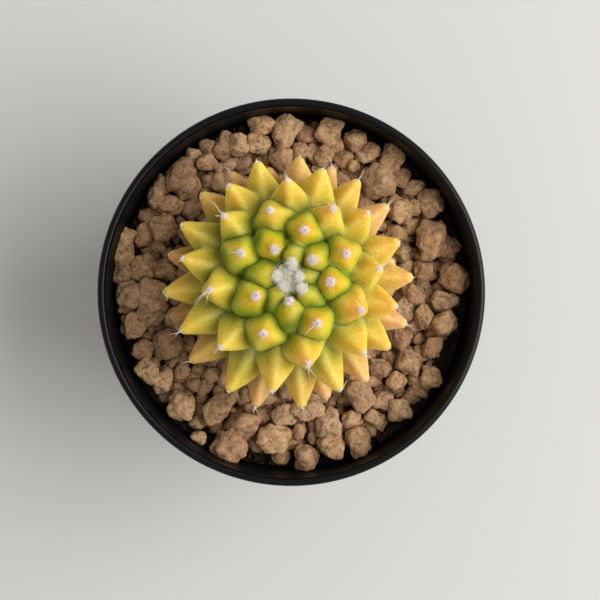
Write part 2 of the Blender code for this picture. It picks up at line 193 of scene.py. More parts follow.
plant = {
    "x": -0.4, "y": 2.7,  # its middle line, from the pot's
    "stemRadius": 14.4, "shoulderZ": 74.5, "neckRadius": 8.6,
    "tubercles": 58, "turnDegrees": -137.285, "startDegrees": 5.9,
    "shoulderIndex": 38, "dropEach": 0.42,  # from the shoulder down, each stands this much lower
    "rootSunk": 5.0,
    # what changes with age: the values at these indexes, counted from the youngest
    "index": (0, 1, 2, 3, 4, 5, 10, 15, 20, 25, 30, 38, 48, 58),
    "footing": (5.2, 5.3, 5.6, 6.0, 6.0, 7.1, 9.2, 11.2, 12.7, 13.6, 14.0, 14.4, 14.4, 14.2),
    "length": (4.2, 4.2, 4.4, 4.6, 4.8, 5.6, 7.2, 8.6, 9.6, 10.4, 11.0, 11.6, 11.8, 11.6),
    "halfWidth": (2.6, 2.7, 2.8, 2.9, 3.0, 3.2, 3.9, 4.3, 4.35, 4.3, 4.25, 4.15, 4.0, 3.8),
    "tipRadius": (0.8, 0.8, 0.8, 0.8, 0.85, 0.85, 0.95, 0.98, 1.0, 1.02, 1.05, 1.08, 1.1, 1.1),
    "youngShape": (2.6, 0.75), "oldShape": 1.6,  # powers that round a tubercle off
    "oldIndex": 26,  # the first with an old one's shape
    # where the photo shows each tip, read from a piece of it at four times its size: how far right
    # of the piece's corner and how far below it, in quarters of a pixel; only tip 1 is moved, half a mm
    # outward, to space the crown's tufts
    "corner": (140, 130),  # in the photo's pixels
    "seen": {
        0: (643, 588), 1: (573, 631), 2: (608, 528), 3: (650, 637), 4: (541, 583), 5: (690, 520),
        6: (597, 687), 7: (537, 478), 8: (762, 608), 9: (463, 664), 10: (656, 402), 11: (708, 774),
        12: (402, 492), 13: (824, 496), 14: (495, 815), 15: (521, 324), 16: (884, 722), 17: (280, 641),
        18: (772, 316), 19: (672, 932), 20: (338, 345), 21: (955, 556), 22: (323, 870), 23: (591, 203),
        24: (896, 890), 25: (172, 515), 26: (912, 332), 27: (529, 1042), 28: (357, 223), 29: (1024, 708),
        30: (165, 803), 31: (731, 160), 32: (800, 1040), 33: (168, 380), 34: (1033, 449), 35: (355, 1043),
        36: (468, 130), 37: (996, 871), 38: (97, 650), 39: (872, 204), 40: (647, 1108), 41: (247, 256),
        42: (1088, 590), 43: (203, 925), 44: (638, 112), 45: (907, 1003), 46: (118, 500), 47: (990, 303),
        48: (462, 1105), 49: (362, 172), 50: (1064, 778), 52: (770, 152), 53: (748, 1072),
        55: (1010, 530)},
    # the hidden ones: mm from the plant's middle line, and degrees off the spiral
    "hidden": {51: (25.1, -6.4), 54: (22.6, 0.0), 56: (25.1, -0.4), 57: (22.6, 0.0)},
    "flattest": 0.94,  # the most of its length that a tubercle reaches outward
    "crownRise": 1.6,  # how far the stem's top swells between the youngest
    "woolly": 5,  # the youngest, whose areoles are part of the crown's wool
}

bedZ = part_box("gravel")[0].z / mm + 7.7  # the top of the solid bed that the granules lie in
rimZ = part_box("pot")[1].z / mm
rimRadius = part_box("pot")[1].x / mm


def grown(index, key):
    return float(np.interp(index, plant["index"], plant[key]))


def seenAt(index, z):
    # where a tip at this height stands if the photo shows it there: mm and radians about the middle line
    perPixel = (rimZ + view["aboveRim"] - z) * view["sensor"] / view["lens"] / view["pixels"]
    right, down = (corner + quarters / 4 - view["pixels"] / 2
                   for corner, quarters in zip(plant["corner"], plant["seen"][index]))
    x = view["camera"][0] + right * perPixel - plant["x"]
    y = view["camera"][1] - down * perPixel - plant["y"]
    return math.hypot(x, y), math.atan2(y, x)


def tubercleFrame(index):  # foot, axis, outward, side and back of a tubercle
    length, footing = grown(index, "length"), grown(index, "footing")
    if index < plant["shoulderIndex"]:
        rise = math.sqrt(max(0.0, plant["stemRadius"] ** 2 - footing ** 2))
    else:
        rise = -(index - plant["shoulderIndex"]) * plant["dropEach"]
    if index in plant["seen"]:
        lean = 0.0
        for _ in range(5):  # what the photo shows depends on the tip's height, and that on its lean
            reach, angle = seenAt(index, plant["shoulderZ"] + rise + length * math.cos(lean))
            lean = math.asin(min((reach - footing) / length, plant["flattest"]))
    else:
        reach, nudge = plant["hidden"][index]
        angle = math.radians(plant["startDegrees"] + plant["turnDegrees"] * index + nudge)
    footing = max(footing, reach - plant["flattest"] * length)
    lean = math.asin((reach - footing) / length)
    outward = Vector((math.cos(angle), math.sin(angle), 0.0))
    foot = Vector((plant["x"], plant["y"], plant["shoulderZ"] + rise)) + outward * footing
    axis = outward * math.sin(lean) + Vector((0.0, 0.0, math.cos(lean)))
    side = outward.cross(Vector((0.0, 0.0, 1.0))).normalized()
    return foot, axis, outward, side, axis.cross(side).normalized()


def tipOf(index):
    foot, axis, outward, side, _ = tubercleFrame(index)
    return foot + axis * grown(index, "length"), axis, outward, side


# Flesh: soft tissue under a waxy skin

flesh = {
    "around": 48, "along": 34,  # points round and along a tubercle before the skins are joined
    "ridge": (0.03, 0.12),  # how far the four ridges stand out, young and old
    "lumps": 0.05,  # how uneven each one is, as a share of its width
    "bend": 0.45,  # mm, how far its middle may be off the straight line
    "skinGrain": 0.26,  # mm between the points of the joined skin
    "soften": 2,  # rounds of smoothing
    "thinned": 0.49,  # the share of its triangles that stay, most of them in the creases
    "creaseWidth": 0.3, "valleyWidth": 1.1,  # mm
    "seed": 7,
}


def tubercleWidth(share, index):
    # half width at a share of the length: blunt when young, nearly a plain cone when old
    share = np.clip(share, 0, 1)
    age = min(1.0, index / plant["oldIndex"])
    young = (1 - share ** plant["youngShape"][0]) ** plant["youngShape"][1]
    old = 1 - share ** plant["oldShape"]
    tip = grown(index, "tipRadius")
    return tip + (grown(index, "halfWidth") - tip) * (young + (old - young) * age)


def ridged(around, index):
    return 1 + np.interp(index, (0, 20), flesh["ridge"]) * np.cos(4 * around)


def tubercleSkin(index, rng):
    foot, axis, _, side, back = tubercleFrame(index)
    tip = grown(index, "tipRadius")
    length = grown(index, "length") - tip * 0.6
    around = np.arange(flesh["around"]) * math.tau / flesh["around"]
    lumps = rng.uniform(-1, 1, 6)
    bend = rng.uniform(-1, 1, 2) * flesh["bend"]
    wave = sum(lumps[2 * k] * np.cos((k + 1) * around + lumps[2 * k + 1] * 3) for k in range(3))
    rows = []
    for share in np.linspace(-plant["rootSunk"] / length, 1.0, flesh["along"]):
        above = max(0.0, share)
        ridges = 1 + (ridged(around, index) - 1) * (1 - above ** 5)
        uneven = 1 + flesh["lumps"] * wave * above * (1 - above ** 3) * 2
        radius = tubercleWidth(share, index) * ridges * uneven
        radius = radius * (1 + 0.6 * min(0.0, share))  # narrower inside the stem
        aside = bend * math.sin(math.pi * above)
        rows.append(np.stack([aside[0] + radius * np.cos(around), aside[1] + radius * np.sin(around),
                              np.full_like(around, share * length)], axis=1))
    for angle in np.radians((20, 42, 66)):  # the rounded tip
        radius = tip * math.cos(angle)
        rows.append(np.stack([radius * np.cos(around), radius * np.sin(around),
                              np.full_like(around, length + tip * 0.75 * math.sin(angle))], axis=1))
    root, top = (0, 0, -plant["rootSunk"] - 0.5), (0, 0, length + tip * 0.75)
    points, faces = skinned(np.array(rows), root, top)
    return points @ np.array([side, back, axis]) + np.array(foot), faces, np.zeros(len(points))


def stemSkin():
    radius, neck, buried = plant["stemRadius"], plant["neckRadius"], bedZ - 8.0
    profile = [(0.0, buried - 9.0), (neck * 0.6, buried - 7.2), (neck, buried),
               (neck + 1.0, bedZ - 1.5), (neck + 2.4, bedZ + 1.5), (radius - 0.4, bedZ + 5.5)]
    for angle in np.radians(np.linspace(0, 90, 17)):
        out = radius * math.cos(angle)
        rise = plant["crownRise"] * math.exp(-(out / 5) ** 2)
        profile.append((out, plant["shoulderZ"] + radius * math.sin(angle) + rise))
    points, faces = turned(profile, 72)
    return points + (plant["x"], plant["y"], 0.0), faces, np.zeros(len(points))


def fleshValues(points, tones):
    # for each point: how far along its tubercle it lies, how near a crease, a valley and a ridge, and the
    # tubercle's age and shade
    best, second = np.full((2, len(points)), np.inf)
    share, age, tone, ridge = (np.zeros(len(points)) for _ in range(4))
    for index in range(plant["tubercles"]):
        foot, axis, _, side, back = tubercleFrame(index)
        local = points - np.array(foot)
        length = grown(index, "length")
        along = local @ np.array(axis) / length
        x, y = local @ np.array(side), local @ np.array(back)
        around = np.arctan2(y, x)
        beside = np.hypot(x, y) - tubercleWidth(along, index) * ridged(around, index)
        beyond = np.maximum((along - 1) * length, -along * length - 1.0)
        outside = np.hypot(np.maximum(beside, 0), np.maximum(beyond, 0))
        gap = outside + np.minimum(np.maximum(beside, beyond), 0)
        closer = gap < best
        second = np.where(closer, best, np.minimum(second, gap))
        best = np.where(closer, gap, best)
        share = np.where(closer, np.clip(along, 0, 1), share)
        age = np.where(closer, index / plant["tubercles"], age)
        tone = np.where(closer, tones[index], tone)
        ridge = np.where(closer, (0.5 + 0.5 * np.cos(4 * around)) ** 5, ridge)
    bare = np.clip(best / 0.6, 0, 1)  # the stem between the tubercles
    crease = np.maximum(np.exp(-((second - best) / flesh["creaseWidth"]) ** 2), bare)
    valley = np.maximum(np.exp(-(second - best) / flesh["valleyWidth"]), bare)
    ridge = ridge * np.clip(share * 4, 0, 1) * np.clip((1 - share) * 5, 0, 1)
    return {"share": share, "crease": crease, "valley": valley, "ridge": ridge, "age": age, "tone": tone}


def fleshMaterial():
    # waxy cactus skin, grown: a soft wide sheen over flesh that lets light in, green in the valleys
    # where the skin is young and shaded, golden on the faces, with an orange blush by the areoles;
    # painted shade darkens the creases and the left side, and painted light makes the right side and the
    # ridges paler. Its grain and specks are drawn at half a millimetre, several times their real size, so
    # that they show
    material, shader, add = newMaterial(
        "waxy cactus skin, grown", IOR=1.42, Subsurface_Weight=0.9,
        Subsurface_Radius=(1.0, 0.75, 0.25), Subsurface_Scale=6 * mm, Specular_IOR_Level=0.35)
    share, crease, valley, age, tone, ridge = (
        add("Attribute", attribute_name=key)
        for key in ("share", "crease", "valley", "age", "tone", "ridge"))
    place = add("TexCoord")
    mottle = add("TexNoise", {0: (place, "Object"), "Scale": 1 / (5 * mm), "Detail": 6.0,
                              "Roughness": 0.55})
    fine = add("TexNoise", {0: (place, "Object"), "Scale": 1 / (0.5 * mm), "Detail": 3.0})
    axes = add("SeparateXYZ", {0: (place, "Object")})
    keyLightSide = add("MapRange", {0: (axes, "X"), 1: -22 * mm, 2: 22 * mm, 3: -0.24, 4: 0.14})
    # how ripe: the share of the length, pushed about by the mottling and each one's own tint, and painted
    # light:
    # riper and lighter on the right, where the key light falls, and greener and darker on the left
    mottled = add("Math", {0: (mottle, "Fac"), 1: 0.42, 2: (share, "Fac")}, operation="MULTIPLY_ADD")
    own = add("Math", {0: (tone, "Fac"), 1: 0.22, 2: -0.4}, operation="MULTIPLY_ADD")
    toneAndLightSide = add("Math", {0: (own, 0), 1: (keyLightSide, 0)}, operation="ADD")
    ripe = add("Math", {0: (mottled, 0), 1: (toneAndLightSide, 0)}, operation="ADD")
    young = add("ValToRGB", {0: (ripe, 0)}, stops=[
        (0.0, "#889A18"), (0.4, "#A3AD1C"), (0.6, "#BAB31E"), (0.78, "#C5A91C"), (1.0, "#C69B1A")])
    old = add("ValToRGB", {0: (ripe, 0)}, stops=[
        (0.0, "#A09B48"), (0.28, "#BCAE44"), (0.52, "#D1B444"), (0.8, "#E0BC56"), (1.0, "#E0B05A")])
    oldest = add("ValToRGB", {0: (ripe, 0)}, stops=[
        (0.0, "#A08C50"), (0.5, "#D2A668"), (1.0, "#E2AF82")])
    youngest = add("ValToRGB", {0: (share, "Fac")}, stops=[
        (0.0, "#748418"), (0.5, "#AAA424"), (1.0, "#CEBC3C")])
    toOld = add("MapRange", {0: (age, "Fac"), 1: 0.12, 2: 0.4})
    toOldest = add("MapRange", {0: (age, "Fac"), 1: 0.62, 2: 0.86})
    first = add("MixRGB", {0: (toOld, 0), 1: (young, 0), 2: (old, 0)})
    second = add("MixRGB", {0: (toOldest, 0), 1: (first, 0), 2: (oldest, 0)})
    # painted shade: the oldest are drawn browner and darker on the left, the side away from the key light
    shady = add("MapRange", {0: (axes, "X"), 1: -22 * mm, 2: 2 * mm, 3: 0.6, 4: 0.0})
    oldestShadeAmount = add("Math", {0: (shady, 0), 1: (toOldest, 0)}, operation="MULTIPLY")
    agedAndShaded = add("MixRGB", {0: (oldestShadeAmount, 0), 1: (second, 0), 2: "#86623A"})
    # orange blush by the areoles, most of all on the young ones
    patch = add("TexNoise", {0: (place, "Object"), "Scale": 1 / (6 * mm), "Detail": 1.0})
    patchOn = add("MapRange", {0: (patch, "Fac"), 1: 0.44, 2: 0.6})
    nearTip = add("MapRange", {0: (share, "Fac"), 1: 0.35, 2: 0.9})
    fade = add("MapRange", {0: (age, "Fac"), 1: 0.05, 2: 0.6, 3: 0.5, 4: 0.2})
    blush = add("Math", {0: (patchOn, 0), 1: (nearTip, 0)}, operation="MULTIPLY")
    blushAmount = add("Math", {0: (blush, 0), 1: (fade, 0)}, operation="MULTIPLY")
    ripened = add("MixRGB", {0: (blushAmount, 0), 1: (agedAndShaded, 0), 2: "#C6901A"})
    toYoung = add("MapRange", {0: (age, "Fac"), 1: 0.07, 2: 0.11})
    blushed = add("MixRGB", {0: (toYoung, 0), 1: (youngest, 0), 2: (ripened, 0)})
    # green valleys, strongest at the crown
    greenness = add("MapRange", {0: (age, "Fac"), 1: 0.1, 2: 0.5, 3: 0.9, 4: 0.15})
    valleyAmount = add("Math", {0: (valley, "Fac"), 1: (greenness, 0)}, operation="MULTIPLY")
    greened = add("MixRGB", {0: (valleyAmount, 0), 1: (blushed, 0), 2: "#678014"})
    comeAndGo = add("TexNoise", {0: (place, "Object"), "Scale": 1 / (2.5 * mm), "Detail": 1.0})
    opened = add("MapRange", {0: (comeAndGo, "Fac"), 1: 0.35, 2: 0.6, 3: 0.3, 4: 1.0})
    # painted shade: a near-black green line along the creases, broken here and there by noise, strongest
    # at the crown
    broken = add("Math", {0: (crease, "Fac"), 1: (opened, 0)}, operation="MULTIPLY")
    creaseShadeAmount = add("Math", {0: (broken, 0), 1: (greenness, 0)}, operation="MULTIPLY")
    colour = add("MixRGB", {0: (creaseShadeAmount, 0), 1: (greened, 0), 2: "#2A3808"})
    # painted highlight: the ridges are drawn paler than the faces, standing in for the light that shows
    # through them, most of all on the old ones
    thin = add("MapRange", {0: (age, "Fac"), 1: 0.1, 2: 0.4, 3: 0.05, 4: 0.22})
    thinned = add("Math", {0: (ridge, "Fac"), 1: (thin, 0)}, operation="MULTIPLY")
    ridgeHighlightAmount = add("Math", {0: (thinned, 0), 1: (opened, 0)}, operation="MULTIPLY")
    ridgeHighlighted = add("MixRGB", {0: (ridgeHighlightAmount, 0), 1: (colour, 0), 2: "#EADF92"})
    speck = add("TexNoise", {0: (place, "Object"), "Scale": 1 / (0.6 * mm), "Detail": 4.0})
    speckle = add("MapRange", {0: (speck, "Fac"), 1: 0.3, 2: 0.7, 3: 0.89, 4: 1.15})
    skin = add("MixRGB", {0: 1.0, 1: (ridgeHighlighted, 0), 2: (speckle, 0)}, blend_type="MULTIPLY")
    rough = add("MapRange", {0: (crease, "Fac"), 1: 0.0, 2: 0.6, 3: 0.4, 4: 0.9})
    bump = add("Bump", {"Height": (fine, "Fac"), "Strength": 0.12, "Distance": 0.1 * mm})
    joinTo(material, shader, Base_Color=(skin, 0), Roughness=(rough, 0), Normal=(bump, 0))
    return material


def addFlesh():
    rng = np.random.default_rng(flesh["seed"])
    tones = rng.uniform(0, 1, plant["tubercles"])
    skins = [tubercleSkin(index, rng) for index in range(plant["tubercles"])]
    points, faces, _ = stacked([stemSkin()] + skins)
    mesh = modified(
        meshFrom("flesh", points, faces),
        ("REMESH", {"mode": "VOXEL", "voxel_size": flesh["skinGrain"]}),
        ("SMOOTH", {"factor": 0.5, "iterations": flesh["soften"]}),
        ("DECIMATE", {"ratio": flesh["thinned"]}))
    places = np.empty(len(mesh.vertices) * 3)
    mesh.vertices.foreach_get("co", places)
    setValues(mesh, **fleshValues(places.reshape(-1, 3), tones))
    addPiece("flesh", mesh, fleshMaterial(), "cactus")


# Wool: felted cores under fine curled hair

wool = {
    # the areoles' tufts: radius in mm, and number of hairs, at these indexes
    "index": (0, 9, 18, 28, 40, 57),
    "radius": (1.2, 1.15, 0.85, 0.6, 0.4, 0.34),
    "hairs": (250, 225, 135, 80, 48, 38),
    "hairThickness": 0.1,  # mm: a few real hairs stuck together, so that they show
    "openDegrees": 110,  # how far from a tuft's middle line its hairs leave it
    "crownHairs": 320, "crownRadius": 1.4,
    "threads": 400, "threadRing": 2.5,  # the loose mat in the middle of the crown
    "threadLength": (0.8, 1.7), "threadThickness": (0.12, 0.17),
    "matSunk": 1.3,  # mm, how far the mat's core lies below the tips round it
    "seed": 11,
}


def spread(rng, axis, count, angle):
    # directions thrown round an axis, at most an angle in degrees away from it
    turn = np.array(Vector(axis).to_track_quat("Z", "Y").to_matrix())
    lean = np.radians(angle) * np.sqrt(rng.uniform(0, 1, count))
    around = rng.uniform(0, math.tau, count)
    local = np.stack([np.sin(lean) * np.cos(around), np.sin(lean) * np.sin(around), np.cos(lean)], axis=1)
    return local @ turn.T


def hairs(rng, roots, ways, lengths, thickness, tones, curl, turns, stations=5, sides=3):
    # fine curled hairs: each a tapered tube round a line that winds as it leaves its root
    ways = ways / np.linalg.norm(ways, axis=1, keepdims=True)
    count = len(roots)
    sideA = np.cross(ways, np.where(np.abs(ways[:, 2:3]) < 0.9, [[0.0, 0.0, 1.0]], [[1.0, 0.0, 0.0]]))
    sideA /= np.linalg.norm(sideA, axis=1, keepdims=True)
    sideB = np.cross(ways, sideA)
    along = np.linspace(0.0, 1.0, stations)
    reach = np.reshape(lengths, (-1, 1)) * along
    phase = rng.uniform(0, math.tau, (count, 1))
    angle = phase + turns * rng.uniform(0.6, 1.4, (count, 1)) * math.tau * along
    line = roots[:, None] + ways[:, None] * reach[..., None]
    line = line + sideA[:, None] * (curl * reach * (np.cos(angle) - np.cos(phase)))[..., None]
    line = line + sideB[:, None] * (curl * reach * (np.sin(angle) - np.sin(phase)))[..., None]
    width = np.reshape(thickness, (-1, 1)) / 2 * (1 - 0.65 * along) * np.ones((count, 1))
    ring = np.arange(sides) * math.tau / sides
    points = line[:, :, None] + width[:, :, None, None] * (
        np.cos(ring)[:, None] * sideA[:, None, None] + np.sin(ring)[:, None] * sideB[:, None, None])
    i = np.arange(sides)
    j = (i + 1) % sides
    faces = []
    for low in range(0, (stations - 1) * sides, sides):
        faces.append(np.stack([low + i, low + j, low + sides + j], axis=1))
        faces.append(np.stack([low + i, low + sides + j, low + sides + i], axis=1))
    fan = np.stack([np.zeros(sides - 2, int), i[1:-1], i[2:]], axis=1)
    faces += [fan[:, ::-1], fan + (stations - 1) * sides]
    one = np.concatenate(faces)
    faces = one[None] + (np.arange(count) * stations * sides)[:, None, None]
    return points.reshape(-1, 3), faces.reshape(-1, 3), np.repeat(tones, stations * sides)


def woolCore(centre, axis, radius, number, tone, subdivisions=2):
    # the felted core under a tuft's hairs
    unit, faces = ball(subdivisions)
    turn = np.array(Vector(axis).to_track_quat("Z", "Y").to_matrix())
    local = unit * (1 + 0.4 * noiseAt(unit, 2.6, number * 7.3))[:, None] * radius * (1.0, 1.0, 0.55)
    return local @ turn.T + np.array(centre), faces, np.full(len(unit), tone)


def tuft(rng, centre, axis, radius, count, number, darkest=0.3):
    # a core, and hairs that leave its surface and curl along it
    ways = spread(rng, axis, count, wool["openDegrees"])
    along = np.clip(ways @ np.array(axis) / Vector(axis).length, 0, 1)
    reach = radius * (0.45 - 0.2 * along) * rng.uniform(0.5, 1.0, count)
    roots = np.array(centre) + ways * reach[:, None]
    ways = ways + rng.normal(0, 0.5, (count, 3))
    lengths = radius * rng.uniform(0.35, 0.8, count)
    thickness = wool["hairThickness"] * rng.uniform(0.7, 1.2, count)
    tones = rng.uniform(darkest, 1.0, count)
    strands = hairs(rng, roots, ways, lengths, thickness, tones, curl=0.3, turns=1.3)
    # painted shade: the core is drawn darker than the hairs, standing in for the shade deep in the tuft
    return [woolCore(centre, axis, radius * 0.55, number, tone=0.28), strands]


def woolMaterial(name, stops):
    # plant wool, grown: matt curled hair that scatters light, white above, with painted shade low down,
    # where the cores are drawn darker; the areoles' wool is faintly pink, and the crown's is cream, with
    # painted shade of grey-green below
    material, shader, add = newMaterial(
        name, Roughness=0.85, Sheen_Weight=0.25, Sheen_Roughness=0.5, Specular_IOR_Level=0.3)
    tone = add("Attribute", attribute_name="tone")
    place = add("TexCoord")
    speckle = add("TexNoise", {0: (place, "Object"), "Scale": 1 / (0.35 * mm), "Detail": 2.0})
    mixed = add("Math", {0: (speckle, "Fac"), 1: 0.4, 2: (tone, "Fac")}, operation="MULTIPLY_ADD")
    colour = add("ValToRGB", {0: (mixed, 0)}, stops=stops)
    joinTo(material, shader, Base_Color=(colour, 0))
    return material


def addAreoleWool():
    rng = np.random.default_rng(wool["seed"])
    material = woolMaterial("areole wool, grown", [
        (0.2, "#B4AB96"), (0.5, "#EFE1DD"), (0.8, "#FFEEF0"), (1.0, "#FFF6F7")])
    parts = []
    for index in range(plant["woolly"], plant["tubercles"]):
        tip, axis, *_ = tipOf(index)
        radius = float(np.interp(index, wool["index"], wool["radius"]))
        count = round(np.interp(index, wool["index"], wool["hairs"]))
        parts += tuft(rng, tip + axis * radius * 0.1, axis, radius, count, index)
    points, faces, tones = stacked(parts)
    mesh = meshFrom("areole_wool", points, faces, tone=tones)
    addPiece("areole_wool", mesh, material, "cactus")


def addCrownWool():
    rng = np.random.default_rng(wool["seed"] + 1)
    material = woolMaterial("crown wool, grown", [
        (0.2, "#989970"), (0.42, "#DDDAB8"), (0.62, "#F8F3E0"), (1.0, "#FFFCF4")])
    up = Vector((0.0, 0.0, 1.0))
    parts = []
    for index in range(plant["woolly"]):
        tip, axis, *_ = tipOf(index)
        parts += tuft(rng, tip + axis * 0.5, axis + up, wool["crownRadius"], wool["crownHairs"], index,
                      darkest=0.45)
    count, ring = wool["threads"], wool["threadRing"]
    middle = Vector((plant["x"], plant["y"], 0.0))
    top = np.mean([tipOf(index)[0].z for index in range(plant["woolly"])])
    # painted shade: the mat's core is drawn a dark grey-green, for the shade among the threads
    parts.append(woolCore(middle + up * (top - wool["matSunk"]), up, ring * 0.95, number=99, tone=0.1,
                          subdivisions=4))
    out = ring * rng.uniform(0, 1, count) ** 0.65
    angle = rng.uniform(0, math.tau, count)
    roots = np.stack([plant["x"] + out * np.cos(angle), plant["y"] + out * np.sin(angle),
                      top - 0.2 + rng.uniform(-0.7, 0.4, count)], axis=1)
    lying = rng.uniform(0, math.tau, count)
    ways = np.stack([np.cos(lying), np.sin(lying), rng.uniform(-0.2, 0.5, count)], axis=1)
    lengths = rng.uniform(*wool["threadLength"], count)
    thickness = rng.uniform(*wool["threadThickness"], count)
    tones = rng.uniform(0.35, 1.0, count)
    parts.append(hairs(rng, roots, ways, lengths, thickness, tones, curl=0.3, turns=2.2, stations=9))
    points, faces, tones = stacked(parts)
    mesh = meshFrom("crown_wool_hair", points, faces, tone=tones)
    addPiece("crown_wool_hair", mesh, material, "crown_wool")


# Spines: few, short and thin

spines = {
    "thickness": 0.14,  # mm, about twice a real one's, so that they show
    "rise": (0.0, 0.5),  # how far each points up, as a share of its length seen from above
    # the dark points in the wool of the young tubercles
    "young": (0.35, 0.7), "youngThickness": 0.1,  # mm
    "youngEach": 4, "lastYoung": 14,
    # those that the photo shows, read one by one: each one's direction seen from above, in degrees, and
    # its length in mm
    "ways": {
        7: (2, 1.75), 8: (270, 1.7), 9: (92, 1.2, 268, 1.1), 11: (224, 2.9, 20, 1.5), 12: (185, 1.9),
        13: (45, 1.0), 14: (170, 1.3, 200, 1.4, 228, 1.2), 16: (102, 2.4, 250, 2.0),
        17: (210, 3.7, 222, 3.9, 246, 2.5, 196, 1.6), 18: (123, 2.0, 62, 1.4, 100, 1.0),
        19: (268, 3.0, 287, 3.0, 278, 1.9, 259, 1.6), 20: (141, 3.4, 172, 1.9, 120, 1.2),
        21: (31, 2.5, 57, 1.8), 22: (213, 1.9, 203, 1.6, 226, 1.2), 23: (120, 2.0, 108, 1.4),
        24: (314, 2.6, 305, 1.4), 25: (225, 1.3), 27: (265, 0.8, 300, 0.7), 28: (220, 1.2, 196, 0.8),
        29: (315, 1.3), 30: (210, 2.5, 214, 1.6), 31: (58, 1.2), 32: (40, 2.3, 46, 2.0, 22, 1.0),
        35: (265, 0.8), 36: (108, 0.8), 38: (302, 1.9, 290, 1.3), 39: (69, 2.4, 60, 1.2),
        40: (325, 2.4, 300, 1.5), 42: (0, 0.8), 43: (183, 2.2), 44: (75, 0.8), 47: (43, 2.2, 56, 1.4),
        48: (278, 2.0, 237, 1.1, 265, 1.5), 49: (127, 1.9, 112, 1.2), 50: (324, 2.1, 340, 1.6),
        52: (109, 2.2), 53: (270, 0.8)},
    "seed": 5,
}


def spineMaterial():
    # cactus spine, grown: dry glassy horn, ivory to white, and dark brown while it is young
    material, shader, add = newMaterial("cactus spine, grown", Roughness=0.45, IOR=1.5)
    tone = add("Attribute", attribute_name="tone")
    place = add("TexCoord")
    streak = add("TexNoise", {0: (place, "Object"), "Scale": 1 / (0.8 * mm), "Detail": 2.0})
    mixed = add("Math", {0: (streak, "Fac"), 1: 0.3, 2: (tone, "Fac")}, operation="MULTIPLY_ADD")
    colour = add("ValToRGB", {0: (mixed, 0)}, stops=[
        (0.1, "#33201C"), (0.35, "#7A6350"), (0.7, "#E4DCCB"), (1.0, "#F6F1E6")])
    joinTo(material, shader, Base_Color=(colour, 0))
    return material


def addSpines():
    rng = np.random.default_rng(spines["seed"])
    rows = []  # root, way, length, thickness, tone
    for index in range(plant["woolly"], plant["tubercles"]):
        tip, axis, outward, side = tipOf(index)
        if index <= spines["lastYoung"]:
            for _ in range(spines["youngEach"]):
                way = axis + side * rng.uniform(-0.9, 0.9) + outward * rng.uniform(-0.9, 0.9)
                length = rng.uniform(*spines["young"])
                rows.append((tip + axis * 0.35, way, length, spines["youngThickness"], 0.0))
        known = spines["ways"].get(index, ())
        for degrees, length in zip(known[::2], known[1::2]):
            angle = math.radians(degrees)
            way = Vector((math.cos(angle), math.sin(angle), rng.uniform(*spines["rise"])))
            rows.append((tip, way, length * way.length, spines["thickness"], rng.uniform(0.7, 1.0)))
    roots, ways, lengths, thickness, tones = (np.array(column) for column in zip(*rows))
    points, faces, tones = hairs(rng, roots, ways, lengths, thickness, tones, curl=0.12, turns=0.35,
                                 stations=9, sides=5)
    mesh = meshFrom("spines", points, faces, tone=tones)
    addPiece("spines", mesh, spineMaterial(), "cactus")


# Pot: thin injection-moulded shell, in mm

pot = {
    "segments": 192, "wall": 1.1,
    "lipBulge": 0.7, "lipHeight": 3.0,  # the rolled lip
    "collar": 14.0, "step": 1.9, "taper": 0.7,  # the wider band below the lip
    "footRadius": 29.0, "footWidth": 2.2, "floorLift": 1.8,  # the ring that the pot stands on
    "holes": 6, "holeRadius": 3.0, "holeRing": 16.0, "drilled": (-2.0, 6.0),
    "edge": 0.6, "corner": 0.35, "hollow": 0.8,  # how its edges are eased, outside and inside
    "worn": (1.6, 0.8),  # mm below the rim, where the lip begins to be worn smooth and is wholly so
}


def collarInner(z):  # the collar's inner radius at a height
    top = rimRadius - pot["lipBulge"] - pot["wall"]
    return top - pot["taper"] * (rimZ - z) / pot["collar"]


def bodyInner(z):  # the wall's inner radius below the collar
    top = rimRadius - pot["lipBulge"] - pot["wall"] - pot["taper"] - pot["step"]
    foot = pot["footRadius"] - pot["wall"]
    return foot + (top - foot) * z / (rimZ - pot["collar"])


def rounded(points, radius, steps=5):
    # swaps each corner of a profile for a small curve
    result = [points[0]]
    for before, corner, after in zip(points, points[1:], points[2:]):
        a, b, c = (Vector(p) for p in (before, corner, after))
        toA, toC = a - b, c - b
        reach = min(radius, toA.length * 0.45, toC.length * 0.45)
        start, end = b + toA.normalized() * reach, b + toC.normalized() * reach
        for t in np.linspace(0, 1, steps + 1):
            result.append(tuple(start * (1 - t) ** 2 + b * 2 * t * (1 - t) + end * t ** 2))
    result.append(points[-1])
    return result


def potProfile():
    wall, stepZ, edge = pot["wall"], rimZ - pot["collar"], pot["edge"]
    foot, lift = pot["footRadius"], pot["floorLift"]
    lipFoot = rimZ - pot["lipHeight"]
    inner = collarInner(rimZ)
    middle, half = (rimRadius + inner) / 2, (rimRadius - inner) / 2
    outside = [(0.0, lift), (foot - pot["footWidth"] - edge, lift), (foot - pot["footWidth"], 0.0),
               (foot - edge, 0.0), (foot, edge), (bodyInner(stepZ) + wall, stepZ - 2 * edge),
               (collarInner(stepZ) + wall, stepZ - edge / 2), (collarInner(lipFoot) + wall, lipFoot),
               (rimRadius, lipFoot + edge), (rimRadius, rimZ - half)]
    lip = [(middle + half * math.cos(a), rimZ - half + half * math.sin(a))
           for a in np.linspace(0.08, math.pi - 0.05, 16)]
    inside = [(inner, rimZ - half), (collarInner(stepZ + wall + edge), stepZ + wall + edge),
              (bodyInner(stepZ), stepZ - edge), (bodyInner(lift + wall), lift + wall), (0.0, lift + wall)]
    return rounded(outside, pot["corner"]) + lip + rounded(inside, pot["hollow"])


